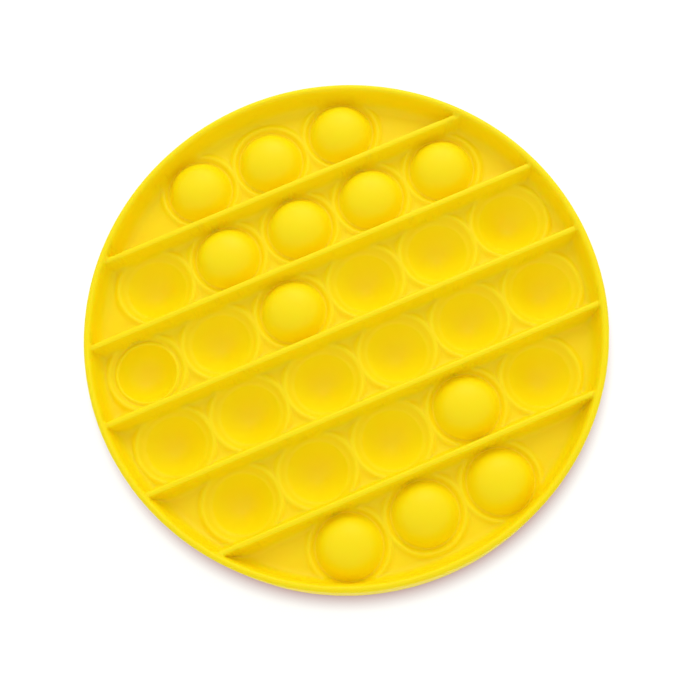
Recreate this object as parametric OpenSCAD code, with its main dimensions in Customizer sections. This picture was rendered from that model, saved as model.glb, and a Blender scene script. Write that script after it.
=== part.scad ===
// Bubble pop fidget toy: a round silicone board, moulded in one piece.
// Rows of thin domes stand in a web between straight ribs, and each dome
// turns inside out when it is pressed. Both faces of the board are alike.
// Origin at the centre of the underside, rows along X, +Z up.

/* [Board] */
// Overall height, from the rim's lower face to its upper face
board_h = 15; // [14:0.5:17]
// Width of the rim's flat at its upper and lower faces, corner radii included
rim_w = 2; // [1.6:0.1:2.6]
// From the outermost lip's crest to the outside of the board
rim_reach = 1.4; // [1.2:0.1:2.4]
// Radius of the rim's outer corners
rim_outer_r = 0.8; // [0.5:0.1:1]
// Radius of the rim's inner corners
rim_inner_r = 0.8; // [0.4:0.1:0.9]
// Thickness of the web between the bubbles
web_t = 2; // [1.6:0.1:2.6]
// Radius where the rim's inner wall meets the web
foot_r = 2; // [1:0.1:3]

/* [Ribs] */
// Width of a rib at its top
rib_w = 1.8; // [1.4:0.1:2.2]
// Mould draft of a rib's sides, in degrees
rib_draft = 2; // [1:0.5:3]
// How far a rib's top lies below the foot of the rim's inner corner radius
rib_step = 0.1; // [0.1:0.1:0.6]
// Radius of a rib's top corners
rib_r = 0.5; // [0.2:0.1:0.6]

/* [Bubbles] */
// Diameter of the crest of the lip round a bubble
lip_d = 18.8; // [17.6:0.2:20]
// Gap between the crests of two lips side by side
lip_gap = 0.4; // [0.4:0.1:2]
// Radius of a lip's round crest
lip_round = 1.2; // [1:0.1:1.5]
// Height of a lip's crest above the web
lip_h = 0.6; // [0.4:0.1:0.8]
// Outside diameter of a dome where it springs from its hinge
dome_d = 14.8; // [14:0.1:15.2]
// How far a dome's top lies below the rim's face
dome_drop = 1.2; // [0.6:0.1:2]
// Wall thickness of a dome
dome_t = 1; // [0.7:0.1:1.3]
// Depth of the groove round a dome, below the web's face
groove_depth = 0.5; // [0.3:0.1:0.8]
// Thickness of the hinge that the dome turns inside out on
hinge_t = 0.7; // [0.5:0.1:0.9]
// Radius of the crease at the top of a bowl
crease_r = 1.5; // [0.8:0.1:2]

/* [Half-popped bubble] */
// Height of the rolled fold's crest above the middle of the web
fold_h = 1.1; // [0.9:0.1:1.5]
// How much less deep the bowl is than a popped one
fold_rise = 1; // [0.4:0.1:1.6]

/* [Hidden] */
$fn = 96;

// The rows from +Y to -Y, each from -X to +X, as the board was left:
// 1 stands up, -1 is popped down, 0 is caught half way.
rows = [
    [1, 1, 1],
    [-1, 1, 1, 1, 1],
    [0, -1, 1, -1, -1, -1],
    [-1, -1, -1, -1, -1, -1],
    [-1, -1, -1, 1, -1],
    [1, 1, 1]
];

// The lattice, and the board that holds it
pitch = lip_d + lip_gap;
lip_r = lip_d / 2;
function place(row, col) = pitch * [
    col - (len(rows[row]) - 1) / 2,
    (len(rows) - 1) / 2 - row
];
reach = max([for (row = [0:len(rows) - 1]) norm(place(row, 0))]);
board_r = reach + lip_r + rim_reach;

// Heights from the board's middle plane
half_h = board_h / 2;
half_web = web_t / 2;
rib_top = half_h - rim_inner_r - rib_step;
lip_z = half_web + lip_h - lip_round;

// The dome: two spheres about one centre, the outer one through its crown
// and its foot
dome_h = half_h - dome_drop;
dome_r = ((dome_d / 2) ^ 2 + dome_h ^ 2) / (2 * dome_h);
dome_z = dome_h - dome_r;
bowl_r = dome_r - dome_t;

// The groove: an arc that touches both the dome and the lip
groove_z = half_web - groove_depth;
groove_k = (lip_round - groove_z + lip_z) / (dome_r - groove_z + dome_z);
groove_b = dome_r ^ 2 - (groove_z - dome_z) ^ 2;
groove_c = lip_r ^ 2 - lip_round ^ 2 + (groove_z - lip_z) ^ 2 + groove_k * groove_b;
groove_x = (lip_r - sqrt(lip_r ^ 2 - (1 - groove_k) * groove_c)) / (1 - groove_k);
groove_r = (groove_x ^ 2 - groove_b) / (2 * (dome_r - groove_z + dome_z));
groove_at = [groove_x, groove_z + groove_r];
groove_foot = [0, dome_z] + (groove_at - [0, dome_z]) * dome_r / (dome_r + groove_r);

// The ledge under the hinge: a line that touches the lower lip and passes the
// groove at the hinge's thickness
ledge_lip = [lip_r, -lip_z];
ledge_span = groove_at - ledge_lip;
ledge_turn = atan2(ledge_span[1], ledge_span[0])
    + acos((lip_round - groove_r - hinge_t) / norm(ledge_span));
ledge_out = [cos(ledge_turn), sin(ledge_turn)];
ledge_way = [ledge_out[1], -ledge_out[0]];
ledge_foot = ledge_lip + lip_round * ledge_out;

// The crease: an arc that touches both the ledge and the bowl
crease_from = ledge_foot - crease_r * ledge_out - [0, dome_z];
crease_run = crease_from * ledge_way;
crease_reach = crease_run ^ 2 - crease_from * crease_from + (bowl_r + crease_r) ^ 2;
crease_at = [0, dome_z] + crease_from - (crease_run + sqrt(crease_reach)) * ledge_way;
crease_bowl = [0, dome_z] + (crease_at - [0, dome_z]) * bowl_r / (bowl_r + crease_r);
crease_ledge = crease_at + crease_r * ledge_out;

// Where the web and the rim's foot are cleared round a bubble
clear_r = lip_r - lip_round / 4;
// Turns the rim so that its seam lies between two ribs
seam = 8;
// How far pieces run into each other, so that they join
bite = 0.2;
// How far the crease's arc runs past what it touches, so that they cross
touch = 0.001;
far = 2 * board_r;

// A direction in a section
function aim(angle) = [cos(angle), sin(angle)];

// The spandrel between a corner and the arc that rounds it: added, it fills
// a corner, and taken away, it rounds one. The corner's sides leave it at the
// angles from and to.
module spandrel(corner, from, to, r) {
    half = (to - from) / 2;
    run = r / tan(half);
    centre = corner + r / sin(half) * aim(from + half);
    difference() {
        polygon([
            corner + run * aim(from),
            centre,
            corner + run * aim(to),
            corner - bite * aim(from + half)
        ]);
        translate(centre) circle(r);
    }
}

// The rim and the web in one section, with an arc from one into the other
module rim_section() {
    wall_r = board_r - rim_w;
    difference() {
        union() {
            translate([0, -half_web]) square([board_r - rim_w / 2, web_t]);
            translate([wall_r, -half_h]) square([rim_w, board_h]);
            for (side = [0, 1]) mirror([0, side])
                spandrel([wall_r, half_web], 90, 180, foot_r);
        }
        for (side = [0, 1]) mirror([0, side]) {
            spandrel([board_r, half_h], 180, 270, rim_outer_r);
            spandrel([wall_r, half_h], 270, 360, rim_inner_r);
        }
    }
}

module rim_and_web() {
    difference() {
        rotate(seam) rotate_extrude() rim_section();
        each_bubble() translate([0, 0, -half_h]) cylinder(r = clear_r, h = board_h);
    }
}

// A rib's section, with x across it: it tapers from the middle plane to both
// of its tops
module rib_section() {
    half_w = rib_w / 2;
    half_root = half_w + rib_top * tan(rib_draft);
    difference() {
        polygon([
            [-half_w, -rib_top],
            [half_w, -rib_top],
            [half_root, 0],
            [half_w, rib_top],
            [-half_w, rib_top],
            [-half_root, 0]
        ]);
        for (side = [0, 1]) mirror([0, side])
            for (flip = [0, 1]) mirror([flip, 0])
                spandrel([half_w, rib_top], 180, 270 + rib_draft, rib_r);
    }
}

// Each rib runs between two rows, from rim to rim
module ribs() {
    for (row = [1:len(rows) - 1]) {
        y = pitch * (len(rows) / 2 - row);
        run = sqrt((board_r - rim_w / 2) ^ 2 - y ^ 2);
        translate([-run, y, 0]) rotate([90, 0, 90]) linear_extrude(2 * run) rib_section();
    }
}

// The lip on both faces of the web, with a round crest
module lip_section() {
    translate([lip_r - lip_round, -lip_z]) square([lip_round, 2 * lip_z]);
    for (z = [-lip_z, lip_z]) translate([lip_r, z]) circle(lip_round);
}

// What lies inside a bubble that stands up: the bowl, the slope under the
// hinge, and the rounded crease between them
module hollow_section() {
    intersection() {
        translate([0, dome_z]) circle(bowl_r);
        translate([0, crease_ledge[1]]) square(far);
    }
    polygon([
        [0, -half_h],
        [ledge_foot[0], -half_h],
        ledge_foot,
        crease_ledge,
        [0, crease_ledge[1]]
    ]);
    difference() {
        polygon([
            crease_ledge,
            crease_at,
            crease_bowl,
            [crease_bowl[0] - bite, crease_ledge[1] - bite]
        ]);
        translate(crease_at) circle(crease_r + touch);
    }
}

// A bubble that stands up
module bubble_section() {
    lip_section();
    difference() {
        union() {
            intersection() {
                translate([0, dome_z]) circle(dome_r);
                translate([0, -half_web]) square(far);
            }
            polygon([
                crease_ledge,
                ledge_foot,
                ledge_lip,
                [lip_r, lip_z],
                groove_at,
                groove_foot
            ]);
        }
        translate(groove_at) circle(groove_r);
        hollow_section();
    }
}

// The half-popped bubble: its crown is down, and the fold still stands up as
// a rolled ring inside the lip
module fold_section() {
    fold_r = dome_t / 2;
    fold_at = [dome_d / 2 - fold_r, fold_h - fold_r];
    sink = dome_h - fold_rise;
    out_r = ((dome_d / 2) ^ 2 + sink ^ 2) / (2 * sink);
    lip_section();
    difference() {
        union() {
            intersection() {
                translate([0, out_r - sink]) circle(out_r);
                translate([0, -far]) square([far, far]);
            }
            translate([fold_at[0] - fold_r, -bite]) square([dome_t, fold_at[1] + bite]);
            translate([fold_at[0], -hinge_t / 2]) square([lip_r - fold_at[0], hinge_t]);
            translate(fold_at) circle(fold_r);
        }
        intersection() {
            translate([0, out_r - sink]) circle(out_r - dome_t);
            translate([0, -far]) square([far, far]);
        }
        translate([0, -bite]) square([dome_d / 2 - dome_t, far]);
    }
}

module bubble(state) {
    if (state == 0) rotate(45) rotate_extrude() fold_section();
    else mirror([0, 0, state > 0 ? 0 : 1]) rotate(45) rotate_extrude() bubble_section();
}

// Puts its children at each bubble's place, with that bubble's state
module each_bubble() {
    for (row = [0:len(rows) - 1])
        for (col = [0:len(rows[row]) - 1]) {
            $state = rows[row][col];
            translate(place(row, col)) children();
        }
}

module bubble_board() {
    color("gold") translate([0, 0, half_h]) {
        rim_and_web();
        ribs();
        each_bubble() bubble($state);
    }
}

bubble_board();
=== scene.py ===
from math import radians
import bmesh
import bpy
import numpy as np
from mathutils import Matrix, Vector
from mathutils.geometry import delaunay_2d_cdt


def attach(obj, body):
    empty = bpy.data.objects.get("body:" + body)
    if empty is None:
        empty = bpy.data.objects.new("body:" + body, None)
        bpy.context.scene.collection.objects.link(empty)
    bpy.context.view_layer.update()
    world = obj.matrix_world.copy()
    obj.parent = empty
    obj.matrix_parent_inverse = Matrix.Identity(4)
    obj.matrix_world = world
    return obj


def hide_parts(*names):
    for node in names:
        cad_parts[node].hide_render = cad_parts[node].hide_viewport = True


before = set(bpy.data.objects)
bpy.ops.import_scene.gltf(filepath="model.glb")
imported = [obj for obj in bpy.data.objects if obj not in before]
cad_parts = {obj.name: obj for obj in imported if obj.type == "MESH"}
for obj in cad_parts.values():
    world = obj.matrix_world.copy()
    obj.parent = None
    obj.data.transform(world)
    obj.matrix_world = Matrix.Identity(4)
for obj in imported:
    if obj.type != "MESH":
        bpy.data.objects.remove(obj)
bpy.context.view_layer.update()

scene = bpy.context.scene
scene.view_settings.view_transform = "Standard"


def hexColor(code):
    # sRGB hex value to linear RGBA
    channels = [int(code[i:i + 2], 16) / 255 for i in (1, 3, 5)]
    linear = [c / 12.92 if c <= 0.04045 else ((c + 0.055) / 1.055) ** 2.4 for c in channels]
    return (*linear, 1.0)


def addNode(tree, kind, inputs=None, **settings):
    # inputs: socket name or number to a value, or to the output socket that feeds it
    node = tree.nodes.new(kind)
    for name, value in settings.items():
        setattr(node, name, value)
    for name, value in (inputs or {}).items():
        if isinstance(value, bpy.types.NodeSocket):
            tree.links.new(value, node.inputs[name])
        else:
            node.inputs[name].default_value = value
    return node


# Camera, where the photograph was taken from

cameraView = {
    "place": (-0.01583, -0.07279, 0.27898),  # metres, about 29 cm from the board
    "turn": (14.2031, 2.6709, -22.9756),     # degrees
    "lens": 59.451,                          # mm, on a 36 mm wide sensor
}


def makeCamera(view):
    data = bpy.data.cameras.new("camera")
    data.lens = view["lens"]
    data.sensor_width = 36
    data.clip_start = 0.01
    camera = bpy.data.objects.new("camera", data)
    camera.location = view["place"]
    camera.rotation_euler = [radians(angle) for angle in view["turn"]]
    scene.collection.objects.link(camera)
    scene.camera = camera


makeCamera(cameraView)
print("camera set")


# The board as one soft surface. Moulded silicone has rounder corners than the solid, and a popped bubble relaxes into
# a wide bowl. Both faces share one set of points, and each face has its own heights, outwards from the web's middle.

softBoard = {                 # all in mm
    "rows": (                 # 1 stands up, -1 is popped, 0 is caught half way
        (1, 1, 1),
        (-1, 1, 1, 1, 1),
        (0, -1, 1, -1, -1, -1),
        (-1, -1, -1, -1, -1, -1),
        (-1, -1, -1, 1, -1),
        (1, 1, 1)),
    "pitch": 19.2,
    "middle": 7.5,            # of the web, above the floor
    "web": 1.0,               # half the web's thickness
    # radii round a bubble's centre, and for each state the upper and the lower face's heights there, about 1 mm apart
    "bubble": (0, 0.8, 1.6, 2.4, 3.2, 4.0, 4.8, 5.4, 5.9, 6.3, 6.6, 6.9, 7.15, 7.4, 7.7, 8.0),
    "heights": {
        1: ((6.3, 6.28, 6.2, 6.06, 5.85, 5.54, 5.11, 4.67, 4.2, 3.73, 3.3, 2.8, 2.28, 1.68, 1.02, 0.8),
            (-5.3, -5.28, -5.2, -5.05, -4.83, -4.48, -3.98, -3.45, -2.86, -2.25, -1.7, -1.1, -0.6, -0.15, 0.25, 0.55)),
        -1: ((-4.8, -4.74, -4.54, -4.2, -3.74, -3.18, -2.5, -1.93, -1.4, -0.95, -0.6, -0.23, 0.05, 0.22, 0.4, 0.62),
             (6.0, 5.94, 5.72, 5.36, 4.88, 4.28, 3.56, 2.98, 2.44, 1.98, 1.62, 1.26, 0.98, 0.78, 0.64, 0.62)),
        0: ((-4.3, -4.27, -4.14, -3.9, -3.52, -3.02, -2.36, -1.72, -1.06, -0.44, 0.08, 0.62, 0.98, 1.12, 0.98, 0.72),
            (5.4, 5.36, 5.2, 4.92, 4.5, 3.92, 3.2, 2.56, 1.92, 1.38, 1.0, 0.74, 0.6, 0.54, 0.54, 0.62)),
    },
    # radii over the lip, on from the bubble's, and the heights there
    "lip": (8.35, 8.7, 9.05, 9.4, 9.75, 10.1, 10.5, 10.9),
    "lipHeights": (0.9, 1.3, 1.57, 1.66, 1.58, 1.33, 1.1, 1.0),
    # distances from a rib's middle, and the heights there
    "rib": (0, 0.4, 0.62, 0.77, 0.86, 1.02, 1.3, 1.7, 2.2, 2.8),
    "ribHeights": (6.6, 6.57, 6.42, 6.12, 5.6, 3.3, 2.3, 1.65, 1.22, 1.0),
    "ribWall": 1.02,          # the rib's foot begins past this
    # radii of the rim, and the heights there
    "rim": (57.6, 58.3, 59.0, 59.6, 60.0, 60.35, 60.5, 60.6, 60.75, 61.0, 61.35, 61.7, 62.1, 62.36, 62.5),
    "rimHeights": (1.0, 1.15, 1.5, 2.1, 2.8, 3.9, 5.0, 6.2, 6.8, 7.25, 7.5, 7.5, 7.37, 7.1, 6.7),
    "rimWall": 60.35,         # the rim's foot lies inside this
    "ribEnd": 60.7,           # the radius where the ribs end in the rim
    "fade": 1.4,              # how far into a lip the feet fade out
    # how the points are spread
    "spokes": 400,            # points round the rim
    "segments": 58,           # points round a lip
    "centreShare": 0.12,      # the part of them that a ring at the centre has
    "shareRun": 7.0,          # the radius that adds a whole share
    "wallCuts": 3,            # rows of points up the outer wall
    "step": 1.0,              # along a rib
    "stepEnd": 0.3,           # a rib's even steps stop this far inside the rim
    "open": 1.9,              # between points on the open web
    "openReach": 57.0,
    "openGaps": (0.3, 0.55, 0.6),       # from a lip, from a rib's foot and from the rim's foot to the open points
    "lipGap": 0.1,            # from a lip to the lines of ribs and rim
    "wallGap": 0.15,          # from a wall or a rib's foot to the rings
    "least": 0.14,            # between any two points
    "same": 1e-6,             # points this close are one
}


def layOutBubbles(form):
    rows, pitch = form["rows"], form["pitch"]
    centres = [(pitch * (column - (len(row) - 1) / 2), pitch * ((len(rows) - 1) / 2 - index))
               for index, row in enumerate(rows) for column in range(len(row))]
    return np.array(centres), np.array([state for row in rows for state in row])


def layOutRibs(form):
    rows = len(form["rows"])
    return np.array([form["pitch"] * (rows / 2 - index) for index in range(1, rows)])


def bubbleWays(form, points):
    # for each point, the way to every bubble's centre
    return np.linalg.norm(points[:, None, :] - layOutBubbles(form)[0][None, :, :], axis=2)


def measure(form, points):
    # for each point, the ways to the nearest bubble's centre, the nearest rib's middle and the board's middle
    toRib = np.abs(points[:, 1:2] - layOutRibs(form)[None, :]).min(axis=1)
    return bubbleWays(form, points).min(axis=1), toRib, np.linalg.norm(points, axis=1)


def faceHeights(form, points, face):
    # face is 0 for the upper one and 1 for the lower one
    toBubble, toRib, radius = measure(form, points)
    state = layOutBubbles(form)[1][bubbleWays(form, points).argmin(axis=1)]
    bubble = np.zeros(len(points))
    for kind, faces in form["heights"].items():
        heights = np.interp(toBubble, form["bubble"] + form["lip"], faces[face] + form["lipHeights"])
        bubble = np.where(state == kind, heights, bubble)
    rib = np.interp(toRib, form["rib"], form["ribHeights"])
    rim = np.interp(radius, form["rim"], form["rimHeights"])
    foot = np.maximum(rib, rim) - form["web"]
    slack = 0.01              # so that a point right on a wall counts as its own
    flat = 0.001              # a foot lower than this is none
    wall = (toRib < form["ribWall"] + slack) | (radius > form["rimWall"] - slack)
    # a foot fades out over a lip, and a wall doesn't
    outside = np.clip((toBubble - form["bubble"][-1]) / form["fade"], 0, 1)
    foot = np.where(wall, foot, foot * outside * outside * (3 - 2 * outside))
    return np.where(foot > flat, np.maximum(bubble, form["web"] + foot), bubble)


def ringPoints(centre, radius, count):
    turn = 2 * np.pi * np.arange(count) / count
    return np.array(centre) + radius * np.stack([np.cos(turn), np.sin(turn)], axis=1)


def bubblePoints(form):
    # rings round each bubble, out to the foot of its lip
    for ring in form["bubble"] + form["lip"]:
        share = min(1, form["centreShare"] + ring / form["shareRun"])
        count = round(form["segments"] * share) if ring else 1
        spots = np.concatenate([ringPoints(centre, ring, count) for centre in layOutBubbles(form)[0]])
        toBubble, toRib, radius = measure(form, spots)
        own = np.abs(toBubble - ring) < form["same"]
        gap = form["wallGap"]
        yield spots[own & (toRib > form["ribWall"] + gap) & (radius < form["rimWall"] - gap)]


def ribPoints(form):
    # lines along each rib, with a point wherever one crosses a ring of the rim
    for offset in form["rib"]:
        for y in sorted({rib + side * offset for rib in layOutRibs(form) for side in (1, -1)}):
            ends = [np.sqrt(ring ** 2 - y ** 2) for ring in form["rim"] if ring < form["ribEnd"]]
            x = np.arange(0, ends[0] - form["stepEnd"], form["step"])
            x = np.concatenate([-x[:0:-1], x, ends, -np.array(ends)])
            spots = np.stack([x, np.full(len(x), y)], axis=1)
            toBubble = measure(form, spots)[0]
            yield spots[(toBubble > form["lip"][-1] + form["lipGap"]) | (offset <= form["ribWall"])]


def rimPoints(form):
    # rings round the rim, broken where a rib or a lip has its own points
    for ring in form["rim"]:
        spots = ringPoints((0, 0), ring, form["spokes"])
        toBubble, toRib = measure(form, spots)[:2]
        onWall = ring >= form["rimWall"]
        clear = toRib > (form["ribWall"] if onWall else form["rib"][-1]) + form["wallGap"]
        clear &= (toBubble > form["lip"][-1] + form["lipGap"]) | onWall
        yield spots[clear | (ring > form["ribEnd"])]


def openPoints(form):
    # a plain grid where the web is flat
    reach, step = form["openReach"], form["open"]
    lines = np.arange(-reach, reach + step / 2, step)
    grid = np.stack(np.meshgrid(lines, lines), axis=-1).reshape(-1, 2)
    toBubble, toRib, radius = measure(form, grid)
    lipGap, ribGap, rimGap = form["openGaps"]
    clear = (toBubble > form["lip"][-1] + lipGap) & (toRib > form["rib"][-1] + ribGap)
    yield grid[clear & (radius < form["rim"][0] - rimGap)]


def thinOut(points, least):
    # leaves out each point that lies closer than this to an earlier one
    kept, cells = [], {}
    for x, y in points.tolist():
        column, row = int(x // least), int(y // least)
        close = [other for i in (-1, 0, 1) for j in (-1, 0, 1) for other in cells.get((column + i, row + j), ())]
        if all((x - other[0]) ** 2 + (y - other[1]) ** 2 > least ** 2 for other in close):
            cells.setdefault((column, row), []).append((x, y))
            kept.append(Vector((x, y)))
    return kept


def makeBoard(form):
    groups = [group for spread in (bubblePoints, ribPoints, rimPoints, openPoints) for group in spread(form)]
    spots = thinOut(np.concatenate(groups), form["least"])
    net = delaunay_2d_cdt(spots, [], [], 0, form["same"], False)
    points, triangles = np.array([tuple(corner) for corner in net[0]]), net[2]
    shape = bmesh.new()
    for face, side in enumerate((1, -1)):
        heights = form["middle"] + side * faceHeights(form, points, face)
        sheet = [shape.verts.new(place) for place in np.column_stack([points, heights]) / 1000]
        for triangle in triangles:
            shape.faces.new([sheet[i] for i in triangle[::side]])
    # the outer wall joins the two faces
    border = [edge for edge in shape.edges if edge.is_boundary]
    wall = bmesh.ops.bridge_loops(shape, edges=border)["faces"]
    tall = form["middle"] / 1000
    upright = {edge for face in wall for edge in face.edges if abs(edge.verts[0].co.z - edge.verts[1].co.z) > tall}
    bmesh.ops.subdivide_edges(shape, edges=list(upright), cuts=form["wallCuts"], use_grid_fill=True)
    bmesh.ops.recalc_face_normals(shape, faces=shape.faces)
    mesh = bpy.data.meshes.new("softBoard")
    shape.to_mesh(mesh)
    shape.free()
    mesh.shade_smooth()
    board = bpy.data.objects.new("softBoard", mesh)
    scene.collection.objects.link(board)
    return board


board = makeBoard(softBoard)
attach(board, "root")
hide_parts("bubble_board")
print("soft board made,", len(board.data.polygons), "faces")


# Silicone: compression moulded, one colour right through. It is soft and a little cloudy: light goes a short way in,
# so the thin domes and edges glow, and the satin skin that the mould leaves gives broad, weak highlights.

silicone = {
    "deep": "#FFE000",
    "light": "#FFE404",
    "patchSize": 9.0,         # mm, slow changes of shade
    "skinGrain": 0.35,        # mm, the blasted mould's grain, drawn coarser than real so that it shows
    "grainDepth": 0.012,      # mm
    "waveSize": 4.0,          # mm, the gentle unevenness of a soft wall
    "waveDepth": 0.03,        # mm
    "roughness": (0.42, 0.52),          # from patch to patch
    "index": 1.41,            # of refraction
    "shine": 0.28,            # the strength of the highlights, 0.5 being a plain surface of that index
    "scatter": 0.0015,        # metres that red light goes in
    "scatterColors": (1.0, 0.7, 0.05),  # how far red, green and blue go, as parts of that
    "scatterPart": 0.65,
}


def siliconeMaterial(values):
    material = bpy.data.materials.new("yellowSilicone")
    material.use_nodes = True
    tree = material.node_tree
    tree.nodes.clear()
    place = addNode(tree, "ShaderNodeTexCoord").outputs["Object"]
    patches = addNode(tree, "ShaderNodeTexNoise", {
        "Vector": place, "Scale": 1000 / values["patchSize"], "Detail": 3.0, "Roughness": 0.55})
    color = addNode(tree, "ShaderNodeMix", {
        "Factor": patches.outputs["Fac"], "A": hexColor(values["deep"]), "B": hexColor(values["light"])},
        data_type="RGBA")
    grain = addNode(tree, "ShaderNodeTexNoise", {
        "Vector": place, "Scale": 1000 / values["skinGrain"], "Detail": 2.0, "Roughness": 0.6})
    waves = addNode(tree, "ShaderNodeTexNoise", {
        "Vector": place, "Scale": 1000 / values["waveSize"], "Detail": 1.0})
    least, most = values["roughness"]
    rough = addNode(tree, "ShaderNodeMapRange", {
        "Value": patches.outputs["Fac"], "From Min": 0.3, "From Max": 0.7, "To Min": least, "To Max": most})
    waveBump = addNode(tree, "ShaderNodeBump", {
        "Height": waves.outputs["Fac"], "Distance": values["waveDepth"] / 1000, "Strength": 1.0})
    grainBump = addNode(tree, "ShaderNodeBump", {
        "Height": grain.outputs["Fac"], "Distance": values["grainDepth"] / 1000, "Strength": 1.0,
        "Normal": waveBump.outputs["Normal"]})
    shader = addNode(tree, "ShaderNodeBsdfPrincipled", {
        "Base Color": color.outputs["Result"], "Roughness": rough.outputs["Result"],
        "IOR": values["index"], "Specular IOR Level": values["shine"],
        "Subsurface Weight": values["scatterPart"], "Subsurface Radius": values["scatterColors"],
        "Subsurface Scale": values["scatter"], "Normal": grainBump.outputs["Normal"]})
    addNode(tree, "ShaderNodeOutputMaterial", {"Surface": shader.outputs["BSDF"]})
    return material


board.data.materials.append(siliconeMaterial(silicone))
print("silicone on the board")


# Floor: a white paper sweep, flat where it is seen. Most of its white is its own in the camera's view, so that it
# stays clean, and a painted contact shadow darkens that white next to the board's foot, by how closed in each spot is.

floorPaper = {
    "size": 4.0,
    "shade": 0.25,            # how much of the real light and shadow shows
    "glow": 0.85,
    "bounce": 0.9,            # what it throws back at the board
    # painted shadow: the next three set how far from the board, how strongly and in what colour the painted contact
    # shadow darkens the floor
    "paintedShadowReach": 0.0043,       # metres from the board
    "paintedShadowDepth": 1.5,
    "paintedShadowColor": (0.22, 0.0, 0.07, 1.0),
}


def makeFloor(values):
    mesh = bpy.data.meshes.new("paperFloor")
    shape = bmesh.new()
    bmesh.ops.create_grid(shape, x_segments=1, y_segments=1, size=values["size"] / 2)
    shape.to_mesh(mesh)
    shape.free()
    floor = bpy.data.objects.new("paperFloor", mesh)
    scene.collection.objects.link(floor)
    material = bpy.data.materials.new("whitePaper")
    material.use_nodes = True
    tree = material.node_tree
    tree.nodes.clear()
    ray = addNode(tree, "ShaderNodeLightPath").outputs
    seen = addNode(tree, "ShaderNodeMath", {0: ray["Is Camera Ray"], 1: ray["Is Glossy Ray"]}, operation="MAXIMUM")
    seen = addNode(tree, "ShaderNodeMath", {0: seen.outputs[0], 1: ray["Is Transmission Ray"]}, operation="MAXIMUM")
    # painted shadow: ambient occlusion near the board turns the floor's own white towards the shadow colour, standing
    # in for its contact shadow
    clear = addNode(tree, "ShaderNodeAmbientOcclusion", {"Distance": values["paintedShadowReach"]}, samples=16)
    gap = addNode(tree, "ShaderNodeMapRange", {
        "Value": clear.outputs["AO"], "From Min": 1.0, "From Max": 0.0, "To Min": 0.0, "To Max": values["paintedShadowDepth"]})
    paintedShadowTint = addNode(tree, "ShaderNodeMix", {
        "Factor": gap.outputs["Result"], "A": (1, 1, 1, 1), "B": values["paintedShadowColor"]}, data_type="RGBA")
    full = addNode(tree, "ShaderNodeEmission", {"Color": (1, 1, 1, 1), "Strength": values["bounce"]})
    part = addNode(tree, "ShaderNodeBsdfDiffuse", {"Color": (*[values["shade"]] * 3, 1)})
    glow = addNode(tree, "ShaderNodeEmission", {"Color": paintedShadowTint.outputs["Result"], "Strength": values["glow"]})
    both = addNode(tree, "ShaderNodeAddShader", {0: part.outputs[0], 1: glow.outputs[0]})
    mix = addNode(tree, "ShaderNodeMixShader", {0: seen.outputs[0], 1: full.outputs[0], 2: both.outputs[0]})
    addNode(tree, "ShaderNodeOutputMaterial", {"Surface": mix.outputs[0]})
    mesh.materials.append(material)


makeFloor(floorPaper)
print("floor laid")


# Light: a big soft box beyond the board's far edge, and an even fill from all round

lampValues = {
    "softbox": {"place": (0.27, 0.5, 0.48), "size": 0.45, "power": 1.7},
}
lightTent = {"top": 0.83, "side": 0.79}


def makeLamp(name, values):
    data = bpy.data.lights.new(name, "AREA")
    data.shape = "SQUARE"
    data.size = values["size"]
    data.energy = values["power"]
    lamp = bpy.data.objects.new(name, data)
    lamp.location = values["place"]
    lamp.rotation_euler = (-Vector(values["place"])).to_track_quat("-Z", "Y").to_euler()
    scene.collection.objects.link(lamp)


def makeWorld(values):
    # white in the camera's view, and nearly even for all other rays, a little brighter overhead
    world = bpy.data.worlds.new("lightTent")
    scene.world = world
    world.use_nodes = True
    tree = world.node_tree
    tree.nodes.clear()
    ray = addNode(tree, "ShaderNodeLightPath").outputs
    seen = addNode(tree, "ShaderNodeMath", {
        0: ray["Is Camera Ray"], 1: ray["Is Transmission Ray"]}, operation="MAXIMUM")
    way = addNode(tree, "ShaderNodeTexCoord").outputs["Generated"]
    up = addNode(tree, "ShaderNodeSeparateXYZ", {0: way}).outputs["Z"]
    tent = addNode(tree, "ShaderNodeMapRange", {"Value": up, "To Min": values["side"], "To Max": values["top"]})
    level = addNode(tree, "ShaderNodeMix", {0: seen.outputs[0], 2: tent.outputs["Result"], 3: 1.0})
    background = addNode(tree, "ShaderNodeBackground", {"Color": (1, 1, 1, 1), "Strength": level.outputs[0]})
    addNode(tree, "ShaderNodeOutputWorld", {"Surface": background.outputs[0]})


for name, values in lampValues.items():
    makeLamp(name, values)
makeWorld(lightTent)
print("lamps placed")
